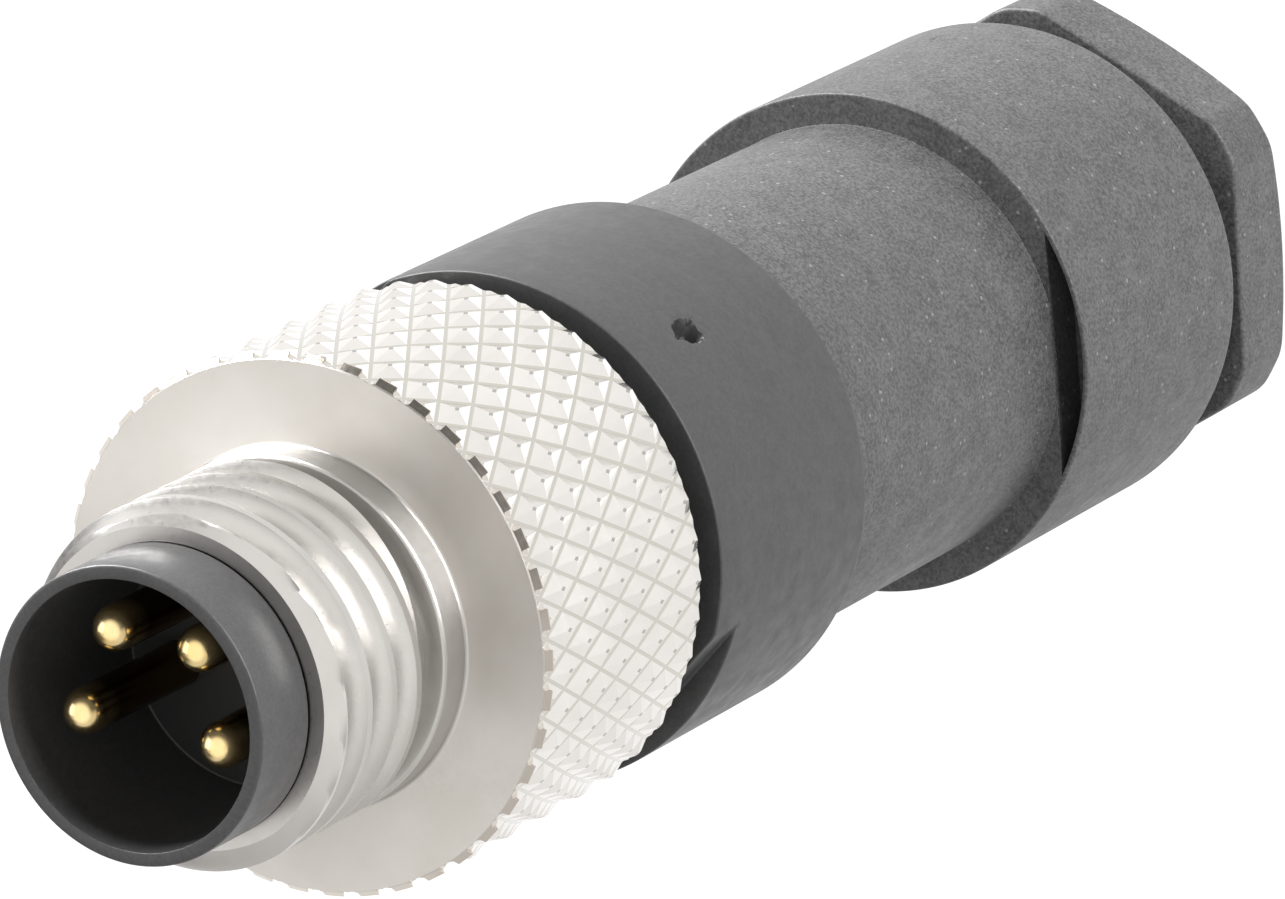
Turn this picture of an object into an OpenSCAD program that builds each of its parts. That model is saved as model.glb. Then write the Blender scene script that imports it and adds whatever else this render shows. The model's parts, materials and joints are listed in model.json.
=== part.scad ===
// Circular sensor connector: a straight male M8 plug with four contacts that is wired on site.
// It stands on the rear face of its pressing screw, with +Z along the axis to the mating face.
// The origin is the centre of that rear face.
// Clock angles run anticlockwise from +X, seen from the mating face.

/* [Stack along the axis] */
// Overall length, from the rear face to the rim of the shroud
overall_l = 43.5; // [42:0.1:47]
// Height of the hexagon of the pressing screw
hex_h = 2.6; // [2:0.1:4]
// Gap that shows between the hexagon and the rear housing
nut_gap = 1.15; // [0.6:0.05:1.8]
// Height of the rear ring of the housing
rear_ring_h = 7.85; // [7:0.05:9]
// Height of the front ring
front_ring_h = 6.75; // [5:0.05:9]
// Gap that shows between the front ring and the knurl
coupling_gap = 0.85; // [0.6:0.05:2]
// Height of the knurled head of the coupling screw
knurl_h = 6.75; // [5:0.05:9]
// Height of the threaded end of the coupling screw
thread_h = 5.1; // [4:0.1:7]
// Height of the shroud that stands out of the thread
lip_h = 1.9; // [1:0.1:3]

/* [Coupling screw] */
// Diameter over the tips of the knurl
knurl_d = 12.1; // [11.4:0.1:13]
// Depth of the knurl grooves
knurl_depth = 0.2; // [0.1:0.02:0.5]
// Pyramids around the knurl
knurl_teeth = 42; // [24:2:56]
// Rows of pyramids and grooves along the knurl, counted at half a pyramid each
knurl_rows = 11; // [6:1:16]
// Height of the bevel at each end of the knurl
knurl_bevel = 0.3; // [0.15:0.05:0.6]
// Outside diameter of the coupling thread
thread_d = 8; // [7.8:0.05:8.2]
// Pitch of the coupling thread
thread_pitch = 1; // [0.75:0.05:1.25]
// Width of the thread grooves at the outside diameter
thread_groove_w = 0.48; // [0.3:0.02:0.5]
// Height of the plain collar at the foot of the thread
collar_h = 0.85; // [0.4:0.05:1.4]
// Width of the run-out groove between collar and thread
runout_w = 0.4; // [0.2:0.05:0.8]
// Depth of the run-out groove
runout_depth = 0.5; // [0.2:0.05:0.55]
// Chamfer at the start of the thread
thread_chamfer = 0.4; // [0.2:0.05:0.6]

/* [Contact insert] */
// Outside diameter of the shroud in front of the thread
shroud_d = 6.5; // [6.3:0.05:6.7]
// Diameter of the stem that the coupling screw turns on
stem_d = 6.15; // [6.05:0.05:6.2]
// Inside diameter of the shroud
cavity_d = 5.6; // [5.4:0.05:5.65]
// Depth of the shroud
cavity_depth = 4.75; // [4:0.05:6]
// Chamfer inside the rim of the shroud
rim_chamfer = 0.14; // [0.05:0.01:0.2]
// Rounding of the outer edge of the rim
rim_round = 0.12; // [0.05:0.01:0.2]

/* [Contacts] */
// Diameter of a contact pin
contact_d = 1; // [0.8:0.05:1.05]
// Diameter of the circle that the contacts stand on
contact_pcd = 3.52; // [3.4:0.02:3.6]
// Angle between neighbouring contacts
contact_step = 72; // [68:1:74]
// Clock angle of the middle of the contact group
contact_clock = -35; // [-180:1:180]
// How far the pin tips lie below the rim of the shroud
contact_recess = 0.6; // [0.2:0.05:1.5]
// Diameter of the clamp barrel at the rear of a contact
barrel_d = 1.8; // [1.6:0.05:1.85]
// Length of the clamp barrel
barrel_h = 4.8; // [4:0.1:5.5]
// Diameter of the wire hole in the barrel
wire_hole_d = 1.1; // [0.9:0.05:1.2]
// Depth of the wire hole
wire_hole_h = 4; // [3:0.1:4.2]
// Diameter of a terminal screw
terminal_screw_d = 1.2; // [1:0.05:1.3]
// Height of the terminal screws above the rear end of the carrier
terminal_screw_rise = 2.2; // [1.8:0.1:2.8]
// Width and depth of the slot in a terminal screw
terminal_slot = 0.25; // [0.15:0.05:0.35]

/* [Front ring] */
// Diameter of the front ring
front_ring_d = 11.9; // [11.4:0.1:13]
// Width across the spanner flats of the front ring
front_af = 10.7; // [10.2:0.1:11.2]
// Height of the spanner flats of the front ring
front_flat_h = 0.95; // [0.4:0.05:2]
// Clock angle of the spanner flats of the front ring
front_flat_clock = 18.5; // [-90:0.5:90]
// Rounding of the rear edge of the front ring
front_ring_round = 0.25; // [0.1:0.05:0.5]
// Diameter of the hub that the coupling screw rests on
hub_d = 9.6; // [9.2:0.1:10.4]
// Length of the threaded spigot that goes into the neck
spigot_h = 5.2; // [4:0.1:5.6]
// Height of the carrier chamber above the foot of the front ring
chamber_rise = 2.2; // [1.5:0.1:3]
// Diameter of the moulding gate dimple
gate_d = 0.85; // [0.4:0.05:1.2]
// Depth of the moulding gate dimple
gate_depth = 0.2; // [0.05:0.05:0.4]
// Clock angle of the moulding gate dimple
gate_clock = -71; // [-180:1:180]
// Height of the moulding gate dimple above the foot of the front ring
gate_rise = 4.4; // [1:0.1:4.5]

/* [Terminal carrier] */
// Diameter of the terminal carrier
carrier_d = 7.4; // [7.2:0.05:7.9]
// Space between the carrier and the web of the housing
carrier_gap = 0.3; // [0.1:0.05:0.6]
// Width of the key that stops the carrier turning
key_w = 1.2; // [0.8:0.1:1.6]
// Height of the key above the carrier
key_proud = 0.35; // [0.2:0.05:0.4]
// Length of the key
key_h = 2.5; // [1.5:0.1:4]

/* [Rear housing] */
// Diameter of the rear ring
rear_ring_d = 12; // [11.4:0.1:13]
// Diameter of the neck
neck_d = 10.5; // [10.3:0.1:10.9]
// Fillet between the neck and the shoulder
neck_fillet = 0.45; // [0.2:0.05:0.45]
// Rounding of the rear edge of the rear ring
rear_ring_round = 0.3; // [0.1:0.05:0.5]
// Bore of the neck, which the spigot screws into
neck_bore_d = 9.5; // [9.3:0.05:9.6]
// Bore of the rear ring, which the pressing screw goes into
nut_bore_d = 9.3; // [9:0.05:9.6]
// Thickness of the web between the two bores
web_t = 0.85; // [0.6:0.05:1.2]
// Diameter of the cable hole in the web
web_hole_d = 5.8; // [5:0.1:6.4]
// How far the inner walls of the two grip pockets bite into the neck
pocket_bite = 0.05; // [0.05:0.01:0.2]
// Height of those walls above the shoulder
pocket_rise = 0.7; // [0.6:0.05:1.5]
// Depth of the grip pockets
pocket_depth = 1.2; // [0.6:0.1:2]
// Thickness of the outer lip of a grip pocket
pocket_lip = 0.12; // [0.08:0.02:0.2]
// Draft of the lip over the depth of the pocket
pocket_draft = 0.12; // [0.05:0.01:0.2]
// Clock angle of the grip pockets
pocket_clock = 63.8; // [-90:0.1:90]

/* [Cable gland] */
// Width across the flats of the hexagon
hex_af = 11; // [10.4:0.1:11.6]
// Diameter that the corners of the hexagon are turned to
hex_corner_d = 12.1; // [11.8:0.1:13]
// Clock angle of a flat of the hexagon
hex_clock = 3; // [-30:1:30]
// How far the rear face of the hexagon stays inside its flats
hex_face_inset = 0.4; // [0.1:0.05:0.8]
// Angle of the chamfer round the rear face of the hexagon
hex_chamfer_angle = 30; // [20:1:40]
// Length of the threaded shank of the pressing screw
shank_h = 3.85; // [3.2:0.05:5]
// Cable bore of the pressing screw
cable_bore_d = 5.2; // [4.6:0.1:5.4]
// How much wider the washer and the collet are than that bore, on the radius
gland_clear = 0.2; // [0.1:0.05:0.3]
// Lead-in chamfer at the cable entry
entry_chamfer = 0.5; // [0.2:0.05:0.8]
// Thickness of the thrust washer
washer_h = 0.55; // [0.3:0.05:1]
// Height of the clamp collet
collet_h = 2.45; // [2:0.05:3.5]
// Height of the closed base of the collet
collet_base_h = 0.8; // [0.5:0.05:1.2]
// Slots around the collet
collet_slots = 8; // [4:1:10]
// Width of a collet slot
collet_slot_w = 0.5; // [0.3:0.05:0.8]
// How much thinner the fingers of the collet are at their tips
collet_taper = 0.5; // [0.2:0.05:0.8]
// Height of the cable seal
cable_seal_h = 2.5; // [2:0.05:3.5]
// Bore of the cable seal at its lips
cable_seal_bore_d = 4.8; // [3.5:0.1:5]
// Lips inside the cable seal
cable_seal_lips = 3; // [2:1:5]
// Share of the seal's bore that the flats of those lips take
cable_seal_lip_share = 0.5; // [0.3:0.05:0.7]
// Depth of the grooves between those lips
cable_seal_groove = 0.35; // [0.15:0.05:0.5]

/* [Seals] */
// Cord diameter of the seal around the stem
stem_seal_cord_d = 1; // [0.8:0.05:1.05]
// Thickness of the gasket between the front ring and the neck
gasket_t = 0.5; // [0.3:0.05:0.8]

/* [Clearances] */
// Between faces that turn on each other
turn_gap = 0.05; // [0.02:0.01:0.1]
// Radial clearance of a turning or screwed fit
turn_clear = 0.05; // [0.02:0.01:0.1]
// Clearance of a seated piece
seat_clear = 0.03; // [0.01:0.01:0.05]

/* [Hidden] */
$fn = 96;
cut = 0.01;
contact_count = 4;
// Slope of a thread flank from the square across the axis
thread_flank = 30;

// Levels from the rear face up to the shoulder
z_hex_top = hex_h;
z_ring_bottom = z_hex_top + nut_gap;
z_shoulder = z_ring_bottom + rear_ring_h;

// Levels from the rim down to the front ring. The neck takes up what is left between the two groups
z_rim = overall_l;
z_thread_top = z_rim - lip_h;
z_face = z_thread_top - thread_h;
z_knurl_bottom = z_face - knurl_h;
z_front_top = z_knurl_bottom - coupling_gap;
z_front_bottom = z_front_top - front_ring_h;

// Levels inside the gland and the neck
z_shank_top = z_hex_top + shank_h;
z_washer = z_shank_top + turn_gap;
z_collet = z_washer + washer_h + turn_gap;
z_cable_seal = z_collet + collet_h + turn_gap;
z_web = z_cable_seal + cable_seal_h + turn_gap;
z_carrier = z_web + web_t + carrier_gap;
z_spigot = z_front_bottom - spigot_h;
z_gasket = z_front_bottom - seat_clear - gasket_t;
z_mouth = z_gasket - seat_clear;
z_stem_end = z_front_bottom + chamber_rise;
z_carrier_top = z_stem_end - seat_clear;
z_hub_top = z_knurl_bottom - turn_gap;

// Radii that fit each other
knurl_tip_r = knurl_d / 2;
knurl_root_r = knurl_tip_r - knurl_depth;
stem_r = stem_d / 2;
coupling_bore_r = stem_r + turn_clear;
front_bore_r = stem_r + seat_clear;
stem_seal_r = stem_r + seat_clear + stem_seal_cord_d / 2;
stem_seal_seat_r = stem_seal_r + stem_seal_cord_d / 2 + seat_clear;
stem_seal_seat_h = stem_seal_cord_d + 2 * seat_clear;
spigot_r = neck_bore_d / 2 - turn_clear;
chamber_r = carrier_d / 2 + seat_clear;
shank_r = nut_bore_d / 2 - turn_clear;
gland_r = nut_bore_d / 2 - turn_clear;
gland_bore_r = cable_bore_d / 2 + gland_clear;
contact_r = contact_d / 2;
barrel_r = barrel_d / 2;
terminal_screw_r = terminal_screw_d / 2;
// Chamfer on lead-in edges
lead_in = 0.2;

// Points of a round edge from one angle to another
function arc(x, z, r, from, to, steps = 6) =
    [for (i = [0:steps]) let (a = from + (to - from) * i / steps) [x + r * cos(a), z + r * sin(a)]];

// Clock angle of a contact, numbered from one end of the group
function contact_angle(i) = contact_clock + contact_step * (i - (contact_count + 1) / 2);

module at_contact(i) rotate(contact_angle(i)) translate([contact_pcd / 2, 0, 0]) children();

// Everything outside the two sides of a spanner, over a height
module beyond_flats(af, z, h, reach) {
    for (side = [0, 180]) rotate(side) translate([af / 2, -reach, z]) cube([reach, 2 * reach, h]);
}

// Radial hole or screw that points at a contact
module towards_contact(i, r, from, to) {
    rotate(contact_angle(i)) translate([from, 0, z_carrier + terminal_screw_rise]) rotate([0, 90, 0])
        cylinder(r = r, h = to - from);
}

module contact_insert() {
    z_floor = z_rim - cavity_depth;
    lip_r = shroud_d / 2;
    cavity_r = cavity_d / 2;
    lip_bottom = z_thread_top + turn_gap;
    profile = concat(
        [[0, z_stem_end], [stem_r - lead_in, z_stem_end], [stem_r, z_stem_end + lead_in],
         [stem_r, lip_bottom], [lip_r, lip_bottom]],
        arc(lip_r - rim_round, z_rim - rim_round, rim_round, 0, 90),
        [[cavity_r + rim_chamfer, z_rim], [cavity_r, z_rim - rim_chamfer], [cavity_r, z_floor],
         [0, z_floor]]);
    color("#3a393c") difference() {
        rotate_extrude() polygon(profile);
        for (i = [1:contact_count]) at_contact(i) translate([0, 0, z_stem_end - cut])
            cylinder(r = contact_r + seat_clear, h = z_floor - z_stem_end + 2 * cut);
    }
}

module contact_pin(i) {
    z_tip = z_rim - contact_recess;
    z_barrel_top = z_carrier + barrel_h;
    profile = concat(
        [[0, z_carrier], [barrel_r, z_carrier], [barrel_r, z_barrel_top], [contact_r, z_barrel_top]],
        arc(0, z_tip - contact_r, contact_r, 0, 90, 8));
    color("#c9a24a") difference() {
        at_contact(i) rotate_extrude($fn = 48) polygon(profile);
        at_contact(i) translate([0, 0, z_carrier - cut])
            cylinder(d = wire_hole_d, h = wire_hole_h + cut, $fn = 32);
        towards_contact(i, terminal_screw_r + seat_clear, contact_pcd / 2, contact_pcd / 2 + barrel_d);
    }
}

module terminal_carrier() {
    carrier_r = carrier_d / 2;
    color("#4a4a4c") difference() {
        union() {
            translate([0, 0, z_carrier]) cylinder(r = carrier_r, h = z_carrier_top - z_carrier);
            rotate(contact_clock + 180) translate([0, -key_w / 2, z_carrier_top - key_h])
                cube([carrier_r + key_proud, key_w, key_h]);
        }
        for (i = [1:contact_count]) {
            at_contact(i) translate([0, 0, z_carrier - cut])
                cylinder(r = contact_r + seat_clear, h = z_carrier_top - z_carrier + 2 * cut);
            at_contact(i) translate([0, 0, z_carrier - cut])
                cylinder(r = barrel_r + seat_clear, h = barrel_h + seat_clear + cut);
            towards_contact(i, terminal_screw_r + seat_clear, contact_pcd / 2, carrier_d);
        }
    }
}

module terminal_screw(i) {
    inner = contact_pcd / 2 + wire_hole_d / 2;
    outer = carrier_d / 2 - terminal_slot;
    slot_bottom = z_carrier + terminal_screw_rise - terminal_slot / 2;
    color("#a9a8a4") difference() {
        towards_contact(i, terminal_screw_r, inner, outer);
        rotate(contact_angle(i)) translate([outer - terminal_slot, -terminal_screw_d, slot_bottom])
            cube([2 * terminal_slot, 2 * terminal_screw_d, terminal_slot]);
    }
}

module front_ring() {
    ring_r = front_ring_d / 2;
    flat_bottom = z_front_top - front_flat_h;
    profile = concat(
        [[chamber_r, z_spigot], [spigot_r - lead_in, z_spigot], [spigot_r, z_spigot + lead_in],
         [spigot_r, z_front_bottom]],
        arc(ring_r - front_ring_round, z_front_bottom + front_ring_round, front_ring_round, -90, 0),
        [[ring_r, z_front_top], [hub_d / 2, z_front_top], [hub_d / 2, z_hub_top],
         [stem_seal_seat_r, z_hub_top], [stem_seal_seat_r, z_hub_top - stem_seal_seat_h],
         [front_bore_r, z_hub_top - stem_seal_seat_h], [front_bore_r, z_stem_end], [chamber_r, z_stem_end]]);
    color("#48474a") difference() {
        rotate_extrude() polygon(profile);
        rotate(front_flat_clock) beyond_flats(front_af, flat_bottom, front_flat_h + cut, ring_r);
        rotate(contact_clock + 180) translate([0, -key_w / 2 - seat_clear, z_spigot - cut])
            cube([carrier_d / 2 + key_proud + seat_clear, key_w + 2 * seat_clear,
                  z_stem_end - z_spigot + cut]);
        rotate(gate_clock) translate([ring_r - gate_depth, 0, z_front_bottom + gate_rise]) rotate([0, 90, 0])
            cylinder(d = gate_d, h = 2 * gate_depth, $fn = 32);
    }
}

module stem_seal() {
    z_middle = z_hub_top - stem_seal_seat_h / 2;
    color("#2a2a2c") translate([0, 0, z_middle]) rotate_extrude() translate([stem_seal_r, 0])
        circle(d = stem_seal_cord_d, $fn = 32);
}

// Knurled head: pyramids on a lattice of half steps, where tips and groove crossings take turns
module knurl() {
    columns = 2 * knurl_teeth;
    last = knurl_rows + 2;
    row_step = (knurl_h - 2 * knurl_bevel) / knurl_rows;
    function row_z(j) = j == 0 ? z_knurl_bottom
        : j == last ? z_face : z_knurl_bottom + knurl_bevel + row_step * (j - 1);
    function row_r(i, j) = j == 0 || j == last ? knurl_tip_r - knurl_bevel
        : (i + j) % 2 == 0 ? knurl_root_r : knurl_tip_r;
    function at(i, j) = (i % columns) + columns * j;
    points = [for (j = [0:last]) for (i = [0:columns - 1]) let (a = 360 * i / columns)
        [row_r(i, j) * cos(a), row_r(i, j) * sin(a), row_z(j)]];
    // Each square of the lattice folds along the line between its two groove crossings
    faces = [for (j = [0:last - 1]) for (i = [0:columns - 1]) for (half = [0, 1])
        (i + j) % 2 == 0
            ? (half == 0 ? [at(i, j), at(i + 1, j + 1), at(i + 1, j)]
                         : [at(i, j), at(i, j + 1), at(i + 1, j + 1)])
            : (half == 0 ? [at(i, j), at(i, j + 1), at(i + 1, j)]
                         : [at(i + 1, j), at(i, j + 1), at(i + 1, j + 1)])];
    bottom = [for (i = [0:columns - 1]) at(i, 0)];
    top = [for (i = [columns - 1:-1:0]) at(i, last)];
    polyhedron(points, concat(faces, [bottom, top]));
}

module coupling_screw() {
    thread_r = thread_d / 2;
    runout_r = thread_r - runout_depth;
    groove_r = thread_r - thread_groove_w / 2 / tan(thread_flank);
    collar_top = z_face + collar_h;
    thread_bottom = collar_top + runout_w;
    thread_end = z_thread_top - thread_chamfer;
    // The turns of the thread stand as rings at its pitch, each a land and then a groove
    grooves = [for (i = [1:floor((thread_end - thread_bottom) / thread_pitch)])
        let (groove_top = thread_bottom + thread_pitch * i) each
        [[thread_r, groove_top - thread_groove_w], [groove_r, groove_top - thread_groove_w / 2],
         [thread_r, groove_top]]];
    profile = concat(
        [[0, z_knurl_bottom + knurl_bevel], [thread_r, z_knurl_bottom + knurl_bevel], [thread_r, collar_top],
         [runout_r, collar_top], [runout_r, thread_bottom], [thread_r, thread_bottom]],
        grooves,
        [[thread_r, thread_end], [thread_r - thread_chamfer, z_thread_top], [0, z_thread_top]]);
    color("#c9c6bf") difference() {
        union() {
            knurl();
            rotate_extrude() polygon(profile);
        }
        translate([0, 0, z_knurl_bottom - cut])
            cylinder(r = coupling_bore_r, h = z_thread_top - z_knurl_bottom + 2 * cut);
    }
}

module housing_gasket() {
    color("#2a2a2c") difference() {
        translate([0, 0, z_gasket]) cylinder(d = neck_d - 2 * turn_clear, h = gasket_t);
        translate([0, 0, z_gasket - cut]) cylinder(d = neck_bore_d, h = gasket_t + 2 * cut);
    }
}

module rear_housing() {
    ring_r = rear_ring_d / 2;
    neck_r = neck_d / 2;
    lip_r = ring_r - pocket_lip;
    fillet_r = min(neck_fillet, lip_r - neck_r - seat_clear);
    pocket_bottom = z_shoulder - pocket_depth;
    pocket_top = z_shoulder + pocket_rise;
    profile = concat(
        [[nut_bore_d / 2, z_ring_bottom]],
        arc(ring_r - rear_ring_round, z_ring_bottom + rear_ring_round, rear_ring_round, -90, 0),
        [[ring_r, z_shoulder]],
        arc(neck_r + fillet_r, z_shoulder + fillet_r, fillet_r, 270, 180),
        [[neck_r, z_mouth], [neck_bore_d / 2, z_mouth], [neck_bore_d / 2, z_web + web_t],
         [web_hole_d / 2, z_web + web_t], [web_hole_d / 2, z_web], [nut_bore_d / 2, z_web]]);
    color("#5a5a5c") difference() {
        rotate_extrude() polygon(profile);
        // Two pockets in the shoulder, flat against the neck, each with a thin drafted lip outside
        intersection() {
            rotate_extrude()
                polygon([[0, pocket_bottom], [lip_r - pocket_draft, pocket_bottom], [lip_r, z_shoulder],
                         [lip_r, pocket_top], [0, pocket_top]]);
            rotate(pocket_clock)
                beyond_flats(neck_d - 2 * pocket_bite, pocket_bottom - cut,
                             pocket_top - pocket_bottom + 2 * cut, ring_r);
        }
    }
}

module cable_seal() {
    bore_r = cable_seal_bore_d / 2;
    pitch = cable_seal_h / cable_seal_lips;
    flank = pitch * (1 - cable_seal_lip_share) / 2;
    lips = [for (i = [cable_seal_lips:-1:1]) let (lip_top = z_cable_seal + pitch * i) each
        [[bore_r, lip_top - flank], [bore_r, lip_top - pitch + flank],
         [bore_r + cable_seal_groove, lip_top - pitch]]];
    profile = concat(
        [[gland_r, z_cable_seal], [gland_r, z_cable_seal + cable_seal_h],
         [bore_r + cable_seal_groove, z_cable_seal + cable_seal_h]],
        lips);
    color("#333336") rotate_extrude() polygon(profile);
}

module clamp_collet() {
    finger_r = gland_r - collet_taper;
    profile = [[gland_bore_r, z_collet], [gland_r, z_collet], [gland_r, z_collet + collet_base_h],
               [finger_r, z_collet + collet_h], [gland_bore_r, z_collet + collet_h]];
    color("#d8d6cf") difference() {
        rotate_extrude() polygon(profile);
        for (i = [0:collet_slots - 1]) rotate(360 * i / collet_slots)
            translate([0, -collet_slot_w / 2, z_collet + collet_base_h])
            cube([nut_bore_d, collet_slot_w, collet_h]);
    }
}

module thrust_washer() {
    color("#bdbbb5") difference() {
        translate([0, 0, z_washer]) cylinder(r = gland_r, h = washer_h);
        translate([0, 0, z_washer - cut]) cylinder(r = gland_bore_r, h = washer_h + 2 * cut);
    }
}

module pressing_screw() {
    face_r = hex_af / 2 - hex_face_inset;
    corner_r = hex_corner_d / 2;
    chamfer_top = (corner_r - face_r) * tan(hex_chamfer_angle);
    color("#5f5f61") difference() {
        union() {
            intersection() {
                rotate(hex_clock - 30) cylinder(d = hex_af / cos(30), h = hex_h, $fn = 6);
                rotate_extrude()
                    polygon([[0, 0], [face_r, 0], [corner_r, chamfer_top], [corner_r, hex_h], [0, hex_h]]);
            }
            rotate_extrude()
                polygon([[0, hex_h / 2], [shank_r, hex_h / 2], [shank_r, z_shank_top - lead_in],
                         [shank_r - lead_in, z_shank_top], [0, z_shank_top]]);
        }
        translate([0, 0, -cut]) cylinder(d = cable_bore_d, h = z_shank_top + 2 * cut);
        translate([0, 0, -cut]) cylinder(d1 = cable_bore_d + 2 * (entry_chamfer + cut), d2 = cable_bore_d,
                                         h = entry_chamfer + cut);
    }
}

contact_insert();
contact_pin(1);  // contact_pin_1
contact_pin(2);  // contact_pin_2
contact_pin(3);  // contact_pin_3
contact_pin(4);  // contact_pin_4
terminal_carrier();
terminal_screw(1);  // terminal_screw_1
terminal_screw(2);  // terminal_screw_2
terminal_screw(3);  // terminal_screw_3
terminal_screw(4);  // terminal_screw_4
front_ring();
stem_seal();
coupling_screw();
housing_gasket();
rear_housing();
cable_seal();
clamp_collet();
thrust_washer();
pressing_screw();
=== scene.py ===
"""Looks of the circular sensor connector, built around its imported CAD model.

Places are in the CAD frame: +Z runs along the connector's axis to the mating face, and the rear
face lies at zero. Sizes are written in millimetres and become metres where a mesh, a light or the
camera is made. Clock directions are degrees round the axis, from +X towards +Y.
"""
import json
import math

import bmesh
import bpy
from mathutils import Matrix, Vector, noise

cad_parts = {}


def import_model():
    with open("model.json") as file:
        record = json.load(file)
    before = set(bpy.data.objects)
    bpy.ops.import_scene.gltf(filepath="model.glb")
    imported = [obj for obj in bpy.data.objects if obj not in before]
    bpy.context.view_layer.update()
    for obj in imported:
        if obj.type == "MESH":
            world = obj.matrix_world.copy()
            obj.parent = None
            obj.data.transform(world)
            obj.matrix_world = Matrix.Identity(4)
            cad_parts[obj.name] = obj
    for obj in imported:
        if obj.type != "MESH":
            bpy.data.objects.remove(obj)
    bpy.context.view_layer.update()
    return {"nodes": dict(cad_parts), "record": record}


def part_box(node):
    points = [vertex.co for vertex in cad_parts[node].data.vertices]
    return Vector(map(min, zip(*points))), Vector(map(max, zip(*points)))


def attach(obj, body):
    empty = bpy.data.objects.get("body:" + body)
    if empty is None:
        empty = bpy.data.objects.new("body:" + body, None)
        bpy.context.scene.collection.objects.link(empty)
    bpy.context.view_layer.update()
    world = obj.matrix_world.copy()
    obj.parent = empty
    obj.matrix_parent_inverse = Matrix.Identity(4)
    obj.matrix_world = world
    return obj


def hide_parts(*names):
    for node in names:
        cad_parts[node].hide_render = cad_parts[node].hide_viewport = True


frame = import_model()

MM = 0.001


def lowest(node):
    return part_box(node)[0].z / MM


def highest(node):
    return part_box(node)[1].z / MM


# Fineness of the meshes
TURNED_STEPS = 288
MOULDED_STEPS = 720
WELD = 0.0002
SHARP = 32

# Levels along the axis
HEX_TOP = 2.6
RING_BOTTOM = lowest("rear_housing")
SHOULDER = 11.6
NECK_MOUTH = highest("rear_housing")
SPIGOT_BOTTOM = lowest("front_ring")
GASKET_GAP = 0.03
FRONT_BOTTOM = highest("housing_gasket") + GASKET_GAP
FRONT_TOP = 28.9
HUB_TOP = highest("front_ring")
KNURL_BOTTOM = lowest("coupling_screw")
FACE = 36.5
THREAD_TOP = highest("coupling_screw")

# Contact insert, whose rim stays a little inside the CAD box
BOX_MARGIN = 0.001
RIM = highest("contact_insert") - BOX_MARGIN
SHROUD_R = 3.25
RIM_ROUND = 0.07
CAVITY_R = 2.94
CAVITY_DEPTH = 4.75
CAVITY_FLOOR = RIM - CAVITY_DEPTH
CAVITY_FILLET = 0.08
CAVITY_FLARE = 0.03
CAVITY_ROUND = 0.025
LIP_GAP = 0.05
LIP_BOTTOM = THREAD_TOP + LIP_GAP
LIP_ROUND = 0.04
STEM_R = 3.075
STEM_BOTTOM = lowest("contact_insert")
STEM_LEAD = 0.2
CONTACTS = range(1, 5)
CONTACT_HOLE_R = 0.505
CONTACT_HOLE_STEPS = 48
CONTACT_HOLE_SPARE = 1

# Coupling screw
KNURL_TEETH = 42
KNURL_TIP_R = 6.02
KNURL_ROOT_R = 5.87
KNURL_EDGE_R = 5.865
KNURL_BEVEL = 0.155
KNURL_HELIX = 30
KNURL_ROW = math.pi * KNURL_TIP_R / KNURL_TEETH / math.tan(math.radians(KNURL_HELIX))
KNURL_ROWS = 9
KNURL_TOP_GAP = 0.017
KNURL_FIRST_ROW = FACE - KNURL_BEVEL - (KNURL_ROWS - 1) * KNURL_ROW - KNURL_TOP_GAP
KNURL_SPARE_BELOW = 2
KNURL_SPARE_ABOVE = 4
KNURL_GROOVE = 0.04
KNURL_TIP_FLAT = 0.04
KNURL_WELD = 0.0005
KNURL_SHARP = 20
KNURL_BAR_HALF = 12
# These two keep the teeth's edges off the steps of the blank, where the boolean would leave open edges
KNURL_CLOCK = math.radians(0.089)
END_TOOTH_WIDTH = 0.45
END_TOOTH_REACH = 0.4
END_TOOTH_OVERLAP = 0.03
BLANK_SPARE = 0.3
THREAD_R = 3.99
THREAD_ROOT_R = 3.42
THREAD_PITCH = 1.0
THREAD_START = 37.75
THREAD_LENGTH = THREAD_TOP - THREAD_START
THREAD_CHAMFER = 0.4
THREAD_CHAMFER_SLOPE = math.tan(math.radians(60))
THREAD_ROOT_SHARE = 0.14
THREAD_FLANK_SHARE = 0.66
THREAD_SOFTNESS = 0.35
THREAD_ROWS_A_TURN = 20
THREAD_ROWS = math.ceil((THREAD_LENGTH / THREAD_PITCH + 1) * THREAD_ROWS_A_TURN) + 1
THREAD_MOUTH_LEAD = 0.12
COLLAR_R = 4.0
COLLAR_TOP = 37.35
COLLAR_FILLET = 0.1
COLLAR_ROUND = 0.12
RUNOUT_R = 3.5
COUPLING_BORE_R = 3.125
COUPLING_BORE_LEAD = 0.15

# Front ring
FRONT_RING_R = 5.95
FRONT_ROUND = 0.25
FRONT_EDGE = 0.05
FLATS_OF_FRONT = 2
FRONT_FLAT = 10.7 / 2
FRONT_FLAT_BOTTOM = 27.95
FRONT_FLAT_CLOCK = 18.5
FRONT_FLAT_BLEND = 0.05
FRONT_FLAT_FOOT = 0.05
FRONT_LEDGE = 0.02
FRONT_LEDGE_LIP = 0.06
FRONT_LEDGE_ROUND = 0.04
FRONT_LEDGE_BREAK = 0.012
SPIGOT_R = 4.7
SPIGOT_CORE_R = SPIGOT_R - 0.28
SPIGOT_END_R = SPIGOT_R - 0.45
SPIGOT_LEAD = 0.2
CHAMBER_R = 3.73
CHAMBER_DEPTH = 2.2
CHAMBER_TOP = FRONT_BOTTOM + CHAMBER_DEPTH
HUB_R = 4.8
STEM_SEAL_SEAT_R = 4.135
STEM_SEAL_SEAT_DEPTH = 1.06
STEM_SEAL_SEAT_BOTTOM = HUB_TOP - STEM_SEAL_SEAT_DEPTH
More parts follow.
